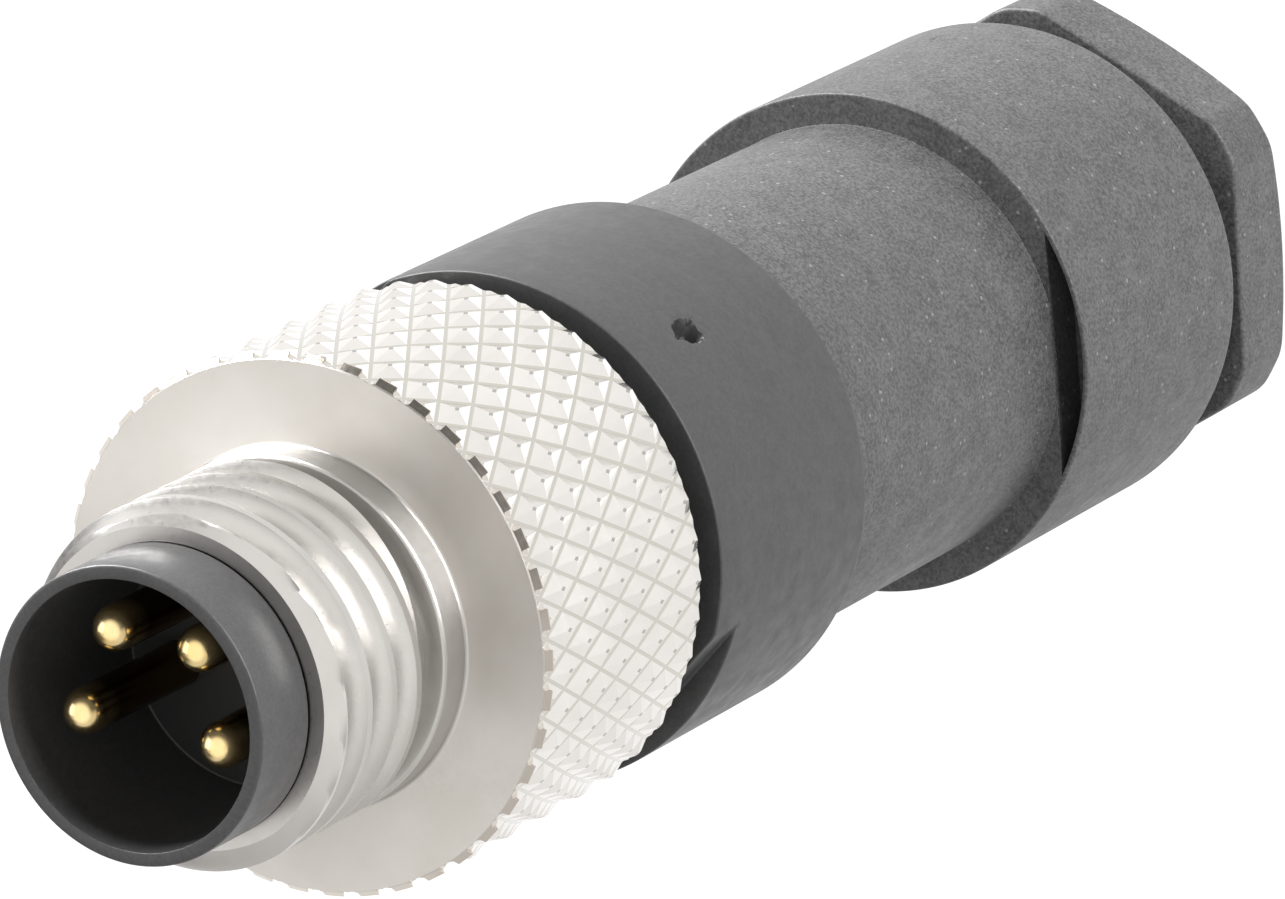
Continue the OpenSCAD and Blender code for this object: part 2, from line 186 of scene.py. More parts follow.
FRONT_BORE_R = 3.105

# Torn gate of the front ring. A roughness is its frequency in each mm and its layer of the noise
GATE_CLOCK = -71
GATE_HEIGHT = 4.4
GATE_Z = FRONT_BOTTOM + GATE_HEIGHT
GATE_R = 0.33
GATE_STRETCH = 1.5
GATE_REACH = 2.2
GATE_COARSE = (4.1, 3.7)
GATE_FINE = (13, 9.1)
GATE_RAGGED = 0.35
GATE_WALL = 0.08
GATE_DEPTH = 0.42
GATE_COARSE_DEPTH = 0.1
GATE_FINE_DEPTH = 0.08
GATE_RIM_OUT = 0.05
GATE_RIM_WIDTH = 0.06
GATE_RIM_SINK = 0.01
GATE_ROW = 0.04
GATE_ROWS = 26

# Rear housing
REAR_RING_R = 6.0
REAR_ROUND = 0.3
REAR_EDGE = 0.06
NECK_R = 5.25
NECK_FILLET = 0.012
NECK_FOOT = 0.01
NECK_ROUND = 0.12
NECK_BORE_R = 4.75
NUT_BORE_R = 4.65
NUT_BORE_LEAD = 0.25
WEB_BOTTOM = 12.15
WEB_TOP = 13.0
WEB_HOLE_R = 2.9
POCKETS = 2
POCKET_FLAT = 5.13
POCKET_BLEND = 0.03
POCKET_LEAN = 4
POCKET_DEPTH = 1.2
POCKET_BOTTOM = SHOULDER - POCKET_DEPTH
POCKET_LIP_R = 5.88
POCKET_LIP_WIDTH = 0.015
POCKET_LIP_DROP = 0.02
POCKET_FLOOR_R = 5.76
POCKET_CLOCK = 63.8
POCKET_POINTS = 4

# Scar of the rear ring's gate
SCAR_CLOCK = -22
SCAR_Z = 5.7
SCAR_STRETCH = 1.3
SCAR_REACH = 0.9
SCAR_ROUGH = (5, 1.3)
SCAR_RING_R = 0.36
SCAR_RING_RAGGED = 0.08
SCAR_RING_WIDTH = 0.09
SCAR_RING_HEIGHT = 0.03
SCAR_DENT_R = 0.26
SCAR_DENT_DEPTH = 0.07
SCAR_DENT_RAGGED = 0.03
SCAR_ROW = 0.06
SCAR_ROWS = 14

# Pressing screw. The rounds are steps out and up from the two edges of the chamfer
HEX_SIDES = 6
HEX_FLAT = 5.5
HEX_BLEND = 0.12
HEX_CORNER_R = 6.049
HEX_CLOCK = 3
HEX_FACE_R = 5.1
HEX_EDGE = 0.1
HEX_CHAMFER = math.tan(math.radians(30))
HEX_INNER_ROUND = [(-0.1, 0), (-0.03, 0.005), (0.06, 0.06 * HEX_CHAMFER + 0.01)]
HEX_OUTER_ROUND = [(-0.06, -0.05 * HEX_CHAMFER), (-0.01, 0.03), (0, 0.1)]
SHANK_R = 4.6
SHANK_CORE_R = SHANK_R - 0.3
SHANK_END_R = SHANK_R - 0.5
SHANK_LEAD = 0.2
SHANK_TOP = highest("pressing_screw")
CABLE_BORE_R = 2.6
CABLE_ENTRY = 0.5

# Ridges of the threads on the spigot and the shank. A section's point is a share of the pitch
# along the axis and a share of the height
RIDGE_PITCH = 1.0
RIDGE_STEPS_A_TURN = 64
RIDGE_TAPER_STEPS = 24
RIDGE_SECTION = [(-0.42, -0.06), (-0.12, 1.0), (0.12, 1.0), (0.42, -0.06)]
RIDGE_END_SINK = 0.005
SPIGOT_RIDGE_BOTTOM = SPIGOT_BOTTOM + 0.6
SPIGOT_RIDGE_TOP = FRONT_BOTTOM - 1.0
SHANK_RIDGE_BOTTOM = HEX_TOP + 0.75
SHANK_RIDGE_TOP = SHANK_TOP - 0.6


# Profiles
def arc(x, z, r, start, end, steps):
    """Points of a round edge in the profile's plane, from one angle to another."""
    angles = [math.radians(start + (end - start) * i / steps) for i in range(steps + 1)]
    return [(x + r * math.cos(a), z + r * math.sin(a)) for a in angles]


def soft_min(a, b, width):
    """The smaller of two lengths, with the corner between them rounded over a width."""
    blend = max(width - abs(a - b), 0) / width
    return min(a, b) - blend * blend * width / 4


def turns(count):
    return [2 * math.pi * i / count for i in range(count)]


def from_clock(angle, clock):
    """Angle from a clock direction, in degrees between -180 and 180."""
    return (math.degrees(angle) - clock + 180) % 360 - 180


def to_flat(angle, clock, count, distance):
    """Radius at which a ray meets the nearest of evenly spaced flats, the first facing a clock direction."""
    step = 360 / count
    off = (math.degrees(angle) - clock + step / 2) % step - step / 2
    least_cosine = 0.2
    return distance / max(math.cos(math.radians(off)), least_cosine)


def rough(across, along, kind):
    """Noise at a place on a side, for one kind of roughness."""
    frequency, layer = kind
    return noise.noise(Vector((across * frequency, along * frequency, layer)))


# Meshes
def add(name, data):
    """New object in the scene."""
    made = bpy.data.objects.new(name, data)
    bpy.context.scene.collection.objects.link(made)
    return made


def shade(mesh, sharp):
    """Smooth shading, apart from edges sharper than an angle."""
    mesh.polygons.foreach_set("use_smooth", [True] * len(mesh.polygons))
    mesh.set_sharp_from_angle(angle=math.radians(sharp))


def finish_mesh(name, made):
    """Object from a bmesh in millimetres, cleaned and shaded."""
    bmesh.ops.remove_doubles(made, verts=made.verts, dist=WELD)
    bmesh.ops.dissolve_degenerate(made, edges=made.edges, dist=WELD)
    bmesh.ops.scale(made, vec=(MM, MM, MM), verts=made.verts)
    mesh = bpy.data.meshes.new(name)
    made.to_mesh(mesh)
    made.free()
    shade(mesh, SHARP)
    return add(name, mesh)


def combine(piece, operation, tool):
    """Carries out a boolean on a piece and removes its tool."""
    step = piece.modifiers.new("combine", "BOOLEAN")
    step.operation = operation
    step.solver = "EXACT"
    step.object = tool
    evaluated = piece.evaluated_get(bpy.context.evaluated_depsgraph_get())
    mesh = bpy.data.meshes.new_from_object(evaluated)
    piece.modifiers.clear()
    piece.data = mesh
    bpy.data.objects.remove(tool)


def revolve(angles, profile_at, helix=None):
    """Closed bmesh of a profile carried round the axis. The profile may change with the angle.

    helix = (first row, rows, rows in a turn) names the rows that climb by one turn at the seam.
    """
    made = bmesh.new()
    rings = []
    for a in angles:
        rings.append([made.verts.new((r * math.cos(a), r * math.sin(a), z)) for r, z in profile_at(a)])
    rows = len(rings[0])

    def after_seam(k):
        if helix and helix[0] <= k < helix[0] + helix[1]:
            return min(k + helix[2], helix[0] + helix[1] - 1)
        return k

    for i, ring in enumerate(rings):
        following = rings[(i + 1) % len(rings)]
        at_seam = i + 1 == len(rings)
        for k in range(rows):
            m = (k + 1) % rows
            k2, m2 = (after_seam(k), after_seam(m)) if at_seam else (k, m)
            corners = [ring[k], following[k2], following[m2], ring[m]]
            made.faces.new(corners[:2] + corners[3:] if k2 == m2 else corners)
    return made


# Contact insert: a thin shroud on a stem with four holes for the contacts
def contact_holes():
    """One bar for each contact, at the middle of the contact's own box."""
    made = bmesh.new()
    bottom, top = STEM_BOTTOM - CONTACT_HOLE_SPARE, CAVITY_FLOOR + CONTACT_HOLE_SPARE
    for i in CONTACTS:
        low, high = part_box(f"contact_pin_{i}")
        middle = (low + high) / 2 / MM
        place = Matrix.Translation((middle.x, middle.y, (bottom + top) / 2))
        bmesh.ops.create_cone(made, cap_ends=True, segments=CONTACT_HOLE_STEPS, radius1=CONTACT_HOLE_R,
                              radius2=CONTACT_HOLE_R, depth=top - bottom, matrix=place)
    return finish_mesh("contact_holes", made)


def contact_insert():
    points = [(0, STEM_BOTTOM), (STEM_R - STEM_LEAD, STEM_BOTTOM), (STEM_R, STEM_BOTTOM + STEM_LEAD),
              (STEM_R, LIP_BOTTOM)]
    points += arc(SHROUD_R - LIP_ROUND, LIP_BOTTOM + LIP_ROUND, LIP_ROUND, -90, 0, steps=3)
    points += arc(SHROUD_R - RIM_ROUND, RIM - RIM_ROUND, RIM_ROUND, 0, 90, steps=5)
    points += arc(CAVITY_R + CAVITY_FLARE, RIM - CAVITY_ROUND, CAVITY_ROUND, 90, 180, steps=4)
    points += arc(CAVITY_R - CAVITY_FILLET, CAVITY_FLOOR + CAVITY_FILLET, CAVITY_FILLET, 0, -90, steps=4)
    points += [(0, CAVITY_FLOOR)]
    piece = finish_mesh("contact_insert_moulded", revolve(turns(TURNED_STEPS), lambda angle: points))
    combine(piece, "DIFFERENCE", contact_holes())
    shade(piece.data, SHARP)
    return piece


# Coupling screw: a turned blank with a helical thread, cut down to the knurl
def thread_radius(phase):
    """Radius of the thread at a share of its pitch: flat root, rounded flanks and a narrow crest."""
    rise = abs(phase % 1 - 0.5) * 2
    height = min(max((rise - THREAD_ROOT_SHARE) / THREAD_FLANK_SHARE, 0), 1)
    eased = height * height * (3 - 2 * height)
    height = eased * THREAD_SOFTNESS + height * (1 - THREAD_SOFTNESS)
    return THREAD_ROOT_R + (THREAD_R - THREAD_ROOT_R) * height


def thread_points(angle):
    turn = angle / (2 * math.pi)
    points = []
    for k in range(THREAD_ROWS):
        climbed = THREAD_PITCH * (k / THREAD_ROWS_A_TURN + turn - 1)
        z = min(max(THREAD_START + climbed, THREAD_START), THREAD_TOP)
        r = thread_radius((z - THREAD_START) / THREAD_PITCH - turn)
        points.append((min(r, THREAD_R - THREAD_CHAMFER + (THREAD_TOP - z) * THREAD_CHAMFER_SLOPE), z))
    return points


def coupling_blank():
    slope = (KNURL_TIP_R - KNURL_EDGE_R) / KNURL_BEVEL
    outer = KNURL_TIP_R + BLANK_SPARE
    bevel = (outer - KNURL_EDGE_R) / slope
    start = [(COUPLING_BORE_R, KNURL_BOTTOM + COUPLING_BORE_LEAD),
             (COUPLING_BORE_R + COUPLING_BORE_LEAD, KNURL_BOTTOM),
             (KNURL_EDGE_R, KNURL_BOTTOM), (outer, KNURL_BOTTOM + bevel), (outer, FACE - bevel),
             (KNURL_EDGE_R, FACE), (COLLAR_R + COLLAR_FILLET, FACE)]
    start += arc(COLLAR_R + COLLAR_FILLET, FACE + COLLAR_FILLET, COLLAR_FILLET, 270, 180, steps=4)[1:]
    start += arc(COLLAR_R - COLLAR_ROUND, COLLAR_TOP - COLLAR_ROUND, COLLAR_ROUND, 0, 90, steps=4)
    start += [(RUNOUT_R, COLLAR_TOP), (RUNOUT_R, THREAD_START)]
    top = [(COUPLING_BORE_R + THREAD_MOUTH_LEAD, THREAD_TOP),
           (COUPLING_BORE_R, THREAD_TOP - THREAD_MOUTH_LEAD)]

    def profile(angle):
        return start + thread_points(angle) + top

    made = revolve(turns(TURNED_STEPS), profile, (len(start), THREAD_ROWS, THREAD_ROWS_A_TURN))
    return finish_mesh("coupling_screw_turned", made)


def knurl_point(u, v, height):
    row, column = u - v, u + v
    r = KNURL_ROOT_R + (KNURL_TIP_R - KNURL_ROOT_R) * height
    angle = math.pi * column / KNURL_TEETH + KNURL_CLOCK
    return (r * math.cos(angle), r * math.sin(angle), KNURL_FIRST_ROW + KNURL_ROW * (row - 1))


def knurl_solid():
    """Solid bar with the diamond knurl all round it: pyramids with a small flat tip between flat grooves."""
    shares = [0, KNURL_GROOVE, 0.5 - KNURL_TIP_FLAT, 0.5 + KNURL_TIP_FLAT, 1 - KNURL_GROOVE, 1]
    heights = [0, 0, 1, 1, 0, 0]
    cells = range(len(shares) - 1)
    made = bmesh.new()
    for row in range(-KNURL_SPARE_BELOW, KNURL_ROWS + KNURL_SPARE_ABOVE):
        for tooth in range(KNURL_TEETH):
            v0, u0 = tooth, tooth + row
            grid = [[made.verts.new(knurl_point(u0 + su, v0 + sv, min(hu, hv)))
                     for sv, hv in zip(shares, heights)] for su, hu in zip(shares, heights)]
            for a in cells:
                for b in cells:
                    p, q, s, t = grid[a][b], grid[a + 1][b], grid[a + 1][b + 1], grid[a][b + 1]
                    # A cell on a pyramid's edge is split along that edge
                    if (a, b) in ((1, 1), (3, 3)):
                        made.faces.new((p, q, s))
                        made.faces.new((p, s, t))
                    elif (a, b) in ((1, 3), (3, 1)):
                        made.faces.new((p, q, t))
                        made.faces.new((q, s, t))
                    else:
                        made.faces.new((p, q, s, t))
    bmesh.ops.remove_doubles(made, verts=made.verts, dist=KNURL_WELD)
    middle = (KNURL_BOTTOM + FACE) / 2
    for end in (-1, 1):
        rim = [e for e in made.edges if e.is_boundary and (e.verts[0].co.z - middle) * end > 0]
        cap = bmesh.ops.extrude_edge_only(made, edges=rim)["geom"]
        for vert in (g for g in cap if isinstance(g, bmesh.types.BMVert)):
            vert.co.z = middle + end * KNURL_BAR_HALF
        edges = [g for g in cap if isinstance(g, bmesh.types.BMEdge) and g.is_boundary]
        bmesh.ops.contextual_create(made, geom=edges)
    bmesh.ops.recalc_face_normals(made, faces=made.faces)
    return finish_mesh("knurl_bar", made)


def knurl_end_teeth():
    """One block for each tooth at the knurl's front end, which the bevel then cuts to a flat."""
    made = bmesh.new()
    low, high = KNURL_ROOT_R - END_TOOTH_REACH, KNURL_TIP_R
    bottom, top = FACE - KNURL_BEVEL - END_TOOTH_OVERLAP, FACE + END_TOOTH_REACH
    block = Matrix.Diagonal((high - low, END_TOOTH_WIDTH, top - bottom, 1))
    place = Matrix.Translation(((low + high) / 2, 0, (bottom + top) / 2))
    for tooth in range(KNURL_TEETH):
        angle = math.pi * (2 * tooth + KNURL_ROWS + 1) / KNURL_TEETH + KNURL_CLOCK
        bmesh.ops.create_cube(made, size=1, matrix=Matrix.Rotation(angle, 4, "Z") @ place @ block)
    return finish_mesh("knurl_end_teeth", made)


def coupling_screw():
    piece, bar = coupling_blank(), knurl_solid()
    combine(bar, "UNION", knurl_end_teeth())
    combine(piece, "INTERSECT", bar)
    shade(piece.data, KNURL_SHARP)
    return piece


# Front ring: spanner flats at its front edge and a torn moulding gate on its side
def gate_sink(angle, z):
    """How far the torn gate goes into the ring at a place on its side."""
    across = math.radians(from_clock(angle, GATE_CLOCK)) * FRONT_RING_R
    along = z - GATE_Z
    distance = math.hypot(across, along / GATE_STRETCH)
    if distance > GATE_REACH * GATE_R:
        return 0
    coarse = rough(across, along, GATE_COARSE)
    fine = rough(across, along, GATE_FINE)
    edge = GATE_R * (1 + GATE_RAGGED * coarse)
    inside = min(max((edge - distance) / GATE_WALL, 0), 1)
    rim = math.exp(-((distance - edge - GATE_RIM_OUT) / GATE_RIM_WIDTH) ** 2)
    depth = GATE_DEPTH + GATE_COARSE_DEPTH * coarse + GATE_FINE_DEPTH * fine
    return inside * depth + rim * GATE_RIM_SINK


def front_ring():
    gate_rows = [GATE_Z + GATE_ROW * i for i in range(-GATE_ROWS, GATE_ROWS + 1)]

    def profile(angle):
        flat = to_flat(angle, FRONT_FLAT_CLOCK, FLATS_OF_FRONT, FRONT_FLAT)
        notch = soft_min(FRONT_RING_R, flat, FRONT_FLAT_BLEND)
        wall = min(notch + FRONT_FLAT_FOOT, FRONT_RING_R)
        ledge = min(FRONT_RING_R - notch, FRONT_LEDGE)
        points = [(CHAMBER_R, SPIGOT_BOTTOM), (SPIGOT_END_R, SPIGOT_BOTTOM),
                  (SPIGOT_CORE_R, SPIGOT_BOTTOM + SPIGOT_LEAD), (SPIGOT_CORE_R, FRONT_BOTTOM)]
        points += arc(FRONT_RING_R - FRONT_ROUND, FRONT_BOTTOM + FRONT_ROUND, FRONT_ROUND, -90, 0, steps=8)
        points += [(FRONT_RING_R - gate_sink(angle, z), z) for z in gate_rows]
        points += [(FRONT_RING_R, FRONT_FLAT_BOTTOM - FRONT_LEDGE_ROUND),
                   (FRONT_RING_R - ledge, FRONT_FLAT_BOTTOM - FRONT_LEDGE_BREAK),
                   (max(wall, FRONT_RING_R - FRONT_LEDGE_LIP), FRONT_FLAT_BOTTOM),
                   (wall, FRONT_FLAT_BOTTOM), (notch, FRONT_FLAT_BOTTOM + FRONT_FLAT_FOOT)]
        points += arc(notch - FRONT_EDGE, FRONT_TOP - FRONT_EDGE, FRONT_EDGE, 0, 90, steps=4)
        points += [(HUB_R, FRONT_TOP), (HUB_R, HUB_TOP), (STEM_SEAL_SEAT_R, HUB_TOP),
                   (STEM_SEAL_SEAT_R, STEM_SEAL_SEAT_BOTTOM), (FRONT_BORE_R, STEM_SEAL_SEAT_BOTTOM),
                   (FRONT_BORE_R, CHAMBER_TOP), (CHAMBER_R, CHAMBER_TOP)]
        return points

    return finish_mesh("front_ring_moulded", revolve(turns(MOULDED_STEPS), profile))


# Rear housing: neck and rear ring in one moulding, with two grip pockets in its shoulder
def scar_lift(angle, z):
    """Height of the moulding gate's scar on the rear ring."""
    across = math.radians(from_clock(angle, SCAR_CLOCK)) * REAR_RING_R
    along = z - SCAR_Z
    distance = math.hypot(across, along * SCAR_STRETCH)
    if distance > SCAR_REACH:
        return 0
    ragged = rough(across, along, SCAR_ROUGH)
    ring = math.exp(-((distance - SCAR_RING_R - SCAR_RING_RAGGED * ragged) / SCAR_RING_WIDTH) ** 2)
    dent = math.exp(-(distance / SCAR_DENT_R) ** 2)
    return SCAR_RING_HEIGHT * ring - dent * (SCAR_DENT_DEPTH + SCAR_DENT_RAGGED * ragged)


def rear_housing():
    scar_rows = [SCAR_Z + SCAR_ROW * i for i in range(-SCAR_ROWS, SCAR_ROWS + 1)]

    def profile(angle):
        flat = to_flat(angle, POCKET_CLOCK, POCKETS, POCKET_FLAT)
        inner = soft_min(POCKET_LIP_R, flat, POCKET_BLEND)
        points = [(NUT_BORE_R, RING_BOTTOM + NUT_BORE_LEAD), (NUT_BORE_R + NUT_BORE_LEAD, RING_BOTTOM)]
        points += arc(REAR_RING_R - REAR_ROUND, RING_BOTTOM + REAR_ROUND, REAR_ROUND, -90, 0, steps=8)
        points += [(REAR_RING_R + scar_lift(angle, z), z) for z in scar_rows]
        points += arc(REAR_RING_R - REAR_EDGE, SHOULDER - REAR_EDGE, REAR_EDGE, 0, 90, steps=4)
        # The pocket: lip, floor and inner wall, or nothing where the flat lies outside the lip
        points.append((POCKET_LIP_R + POCKET_LIP_WIDTH, SHOULDER))
        wall_top = SHOULDER
        if flat < POCKET_LIP_R:
            floor_r = max(POCKET_FLOOR_R, inner)
            reach = min(max(NECK_R + NECK_FILLET - inner, 0), NECK_FILLET)
            wall_top += NECK_FILLET - math.sqrt(NECK_FILLET ** 2 - reach ** 2)
            points += [(POCKET_LIP_R, SHOULDER - POCKET_LIP_DROP), (floor_r, POCKET_BOTTOM),
                       (inner, POCKET_BOTTOM), (inner, wall_top)]
        else:
            points += [(POCKET_LIP_R, SHOULDER)] * POCKET_POINTS
        # The fillet, which starts where the pocket's wall comes up through it
        for r, z in arc(NECK_R + NECK_FILLET, SHOULDER + NECK_FILLET, NECK_FILLET, 270, 180, steps=8):
            points.append((r, z) if r < inner else (inner, wall_top))
        # The pocket's flat leans back into the neck
        bite = max(NECK_R - inner, 0)
        points.append((NECK_R, SHOULDER + NECK_FILLET + NECK_FOOT + bite * POCKET_LEAN))
        points += arc(NECK_R - NECK_ROUND, NECK_MOUTH - NECK_ROUND, NECK_ROUND, 0, 90, steps=4)
        points += [(NECK_BORE_R, NECK_MOUTH), (NECK_BORE_R, WEB_TOP), (WEB_HOLE_R, WEB_TOP),
                   (WEB_HOLE_R, WEB_BOTTOM), (NUT_BORE_R, WEB_BOTTOM)]
        return points

    return finish_mesh("rear_housing_moulded", revolve(turns(MOULDED_STEPS), profile))


# Pressing screw: hexagon with turned corners and a chamfered rear face
def pressing_screw():
    def profile(angle):
        hexagon = to_flat(angle, HEX_CLOCK, HEX_SIDES, HEX_FLAT)
        side = soft_min(HEX_CORNER_R, hexagon, HEX_BLEND)
        chamfer = (side - HEX_FACE_R) * HEX_CHAMFER
        points = [(CABLE_BORE_R, CABLE_ENTRY)]
        points += arc(CABLE_BORE_R + CABLE_ENTRY, CABLE_ENTRY, CABLE_ENTRY, 180, 270, steps=6)[1:]
        points += [(HEX_FACE_R + out, up) for out, up in HEX_INNER_ROUND]
        points += [(side + out, chamfer + up) for out, up in HEX_OUTER_ROUND]
        points += arc(side - HEX_EDGE, HEX_TOP - HEX_EDGE, HEX_EDGE, 0, 90, steps=5)
        points += [(SHANK_CORE_R, HEX_TOP), (SHANK_CORE_R, SHANK_TOP - SHANK_LEAD),
                   (SHANK_END_R, SHANK_TOP), (CABLE_BORE_R, SHANK_TOP)]
        return points

    return finish_mesh("pressing_screw_moulded", revolve(turns(MOULDED_STEPS), profile))


def thread_ridge(name, core_r, crest_r, bottom, top):
    """Helical ridge of a thread that is hidden at rest, sunk into its core and tapered at both ends."""
    steps = int((top - bottom) / RIDGE_PITCH * RIDGE_STEPS_A_TURN)
    made = bmesh.new()
    rings = []
    for i in range(steps + 1):
        share = i / steps
        a = 2 * math.pi * share * (top - bottom) / RIDGE_PITCH
        taper = min(1, share * steps / RIDGE_TAPER_STEPS, (1 - share) * steps / RIDGE_TAPER_STEPS)
        sink = RIDGE_END_SINK if taper == 0 else 0
        z = bottom + (top - bottom) * share
        ring = []
        for along, height in RIDGE_SECTION:
            r = core_r + (crest_r - core_r) * (height * taper if height > 0 else height) - sink
            ring.append(made.verts.new((r * math.cos(a), r * math.sin(a), z + along * RIDGE_PITCH)))
        rings.append(ring)
    for near, far in zip(rings, rings[1:]):
        for k in range(len(RIDGE_SECTION)):
            m = (k + 1) % len(RIDGE_SECTION)
            made.faces.new((near[k], far[k], far[m], near[m]))
    made.faces.new(rings[0])
    made.faces.new(list(reversed(rings[-1])))
    bmesh.ops.recalc_face_normals(made, faces=made.faces)
    return finish_mesh(name, made)


# Materials
def map_range(nodes, links, value, low, high, start, end):
    """Node that takes a value from the range start to end to the range low to high."""
    node = nodes.new("ShaderNodeMapRange")
    for key, number in (("From Min", start), ("From Max", end), ("To Min", low), ("To Max", high)):
        node.inputs[key].default_value = number
    links.new(value, node.inputs["Value"])
    return node


class Look:
    """A material and its nodes, with short ways to add textures in the CAD frame."""

    def __init__(self, name):
        self.material = bpy.data.materials.new(name)
        self.material.use_nodes = True
        self.nodes = self.material.node_tree.nodes
        self.links = self.material.node_tree.links
        self.shader = self.nodes["Principled BSDF"]
        coordinates = self.nodes.new("ShaderNodeTexCoord")
        self.place = coordinates.outputs["Object"]
        self.normal = coordinates.outputs["Normal"]

    def noise(self, size_mm, detail=3.0, rough=0.55):
        node = self.nodes.new("ShaderNodeTexNoise")
        node.inputs["Scale"].default_value = 1 / (size_mm * MM)
        node.inputs["Detail"].default_value = detail
        node.inputs["Roughness"].default_value = rough
        self.links.new(self.place, node.inputs["Vector"])
        return node.outputs["Fac"]

    def grains(self, size_mm):
        node = self.nodes.new("ShaderNodeTexVoronoi")
        node.inputs["Scale"].default_value = 1 / (size_mm * MM)
        self.links.new(self.place, node.inputs["Vector"])
        return node.outputs["Distance"], node.outputs["Color"]

    def red(self, colour):
        node = self.nodes.new("ShaderNodeSeparateColor")
        self.links.new(colour, node.inputs["Color"])
        return node.outputs["Red"]

    def ramp(self, value, dark, light, start=0.3, end=0.7):
        node = self.nodes.new("ShaderNodeValToRGB")
        first, last = node.color_ramp.elements
        first.position, first.color = start, (*dark, 1)
        last.position, last.color = end, (*light, 1)
        self.links.new(value, node.inputs["Fac"])
        return node.outputs["Color"]

    def span(self, value, low, high, start=0.3, end=0.7):
        return map_range(self.nodes, self.links, value, low, high, start, end).outputs["Result"]

    def math(self, operation, a, b):
        node = self.nodes.new("ShaderNodeMath")
        node.operation = operation
        for socket, value in zip(node.inputs, (a, b)):
            if isinstance(value, (int, float)):
                socket.default_value = value
            else:
                self.links.new(value, socket)
        return node.outputs["Value"]

    def above(self, value, limit):
        return self.math("GREATER_THAN", value, limit)

    def below(self, value, limit):
        return self.math("LESS_THAN", value, limit)

    def both(self, a, b):
        return self.math("MULTIPLY", a, b)

    def blend(self, a, a_share, b, b_share):
        """Sum of two values, each times its share."""
        return self.math("ADD", self.math("MULTIPLY", a, a_share), self.math("MULTIPLY", b, b_share))

    def mix(self, share, a, b):
        node = self.nodes.new("ShaderNodeMix")
        node.data_type = "RGBA"
        self.links.new(share, node.inputs["Factor"])
        # A mix node has a set of sockets for each kind of data, and these are the colours
        for socket, value in ((node.inputs[6], a), (node.inputs[7], b)):
            if isinstance(value, tuple):
                socket.default_value = (*value, 1)
            else:
                self.links.new(value, socket)
        return node.outputs[2]

    def parts(self, vector):
        node = self.nodes.new("ShaderNodeSeparateXYZ")
        self.links.new(vector, node.inputs["Vector"])
        return node.outputs["X"], node.outputs["Y"], node.outputs["Z"]

    def axis_parts(self):
        """Height along the axis and distance from it, in the CAD frame."""
        x, y, z = self.parts(self.place)
        return z, self.math("SQRT", self.blend(x, x, y, y), 0)

    def painted_highlight_flank(self):
        """The flank of each knurl tooth that looks back and to one side, where a brighter highlight is
        painted.
        """
        x, y, _ = self.parts(self.place)
        normal_x, normal_y, normal_z = self.parts(self.normal)
        turn = self.math("SUBTRACT", self.math("MULTIPLY", x, normal_y), self.math("MULTIPLY", y, normal_x))
        sideways = self.below(turn, -HIGHLIGHT_FLANK_SIDEWAYS * KNURL_TIP_R * MM)
        return self.both(sideways, self.below(normal_z, -HIGHLIGHT_FLANK_BACKWARD))

    def colour(self, value):
        self.links.new(value, self.shader.inputs["Base Color"])

    def roughness(self, value):
        self.links.new(value, self.shader.inputs["Roughness"])

    def bump(self, value, height_mm, strength):
        node = self.nodes.new("ShaderNodeBump")
        node.inputs["Distance"].default_value = height_mm * MM
        node.inputs["Strength"].default_value = strength
        self.links.new(value, node.inputs["Height"])
        self.links.new(node.outputs["Normal"], self.shader.inputs["Normal"])

    def turned(self, share):
        """Lathe marks round the axis, which draw a highlight out across them."""
        node = self.nodes.new("ShaderNodeTangent")
        node.direction_type = "RADIAL"
        node.axis = "Z"
        self.links.new(node.outputs["Tangent"], self.shader.inputs["Tangent"])
        self.links.new(share, self.shader.inputs["Anisotropic"])
        self.shader.inputs["Anisotropic Rotation"].default_value = 0.25

    def constant(self, **values):
        for key, number in values.items():
            self.shader.inputs[key.replace("_", " ").title().replace("Ior", "IOR")].default_value = number


# Moulded plastic: sizes in mm, and shares of the grain
CLOUD_MM = 0.7
CLOUD_SHARE = 0.2
GRAIN_SHARE = 0.8
GRAIN_START = 0.39
GRAIN_END = 0.61
SPECK_MM = 0.17
SPECK_R = 0.26
CORE_SHADE = 0.4
POLISH_MM = 0.5
POLISH_SPREAD = 0.07
GRAIN_BUMP = 0.6


def moulded(name, dark, light, grain_mm, rough, bump_mm, gloss=0.35, speck=None, speck_share=0.0,
            painted_shade_r_mm=None):
    """Moulded plastic: a slow cloud and a fine grain, and for a filled plastic some pale specks.

    painted_shade_r_mm is the radius below which painted shade darkens the plastic, as in the cavity or on a
    thread.
    """
    look = Look(name)
    cloud = look.noise(CLOUD_MM, 4)
    grain = look.noise(grain_mm, 3, 0.7)
    tint = look.ramp(look.blend(cloud, CLOUD_SHARE, grain, GRAIN_SHARE), dark, light, GRAIN_START, GRAIN_END)
    if speck:
        distance, colour = look.grains(SPECK_MM)
        chosen = look.below(look.red(colour), speck_share)
        tint = look.mix(look.both(chosen, look.below(distance, SPECK_R)), tint, speck)
    # Painted shade: inside the given radius the plastic is painted darker, where the cavity, the bores and
    # the gap round the shank lie in shadow
    if painted_shade_r_mm:
        _, radius = look.axis_parts()
        tint = look.mix(look.below(radius, painted_shade_r_mm * MM), tint, tuple(CORE_SHADE * part for part in dark))
    look.colour(tint)
    look.roughness(look.span(look.noise(POLISH_MM), rough - POLISH_SPREAD, rough + POLISH_SPREAD))
    look.bump(grain, bump_mm, GRAIN_BUMP)
    look.constant(specular_ior_level=gloss)
    return look
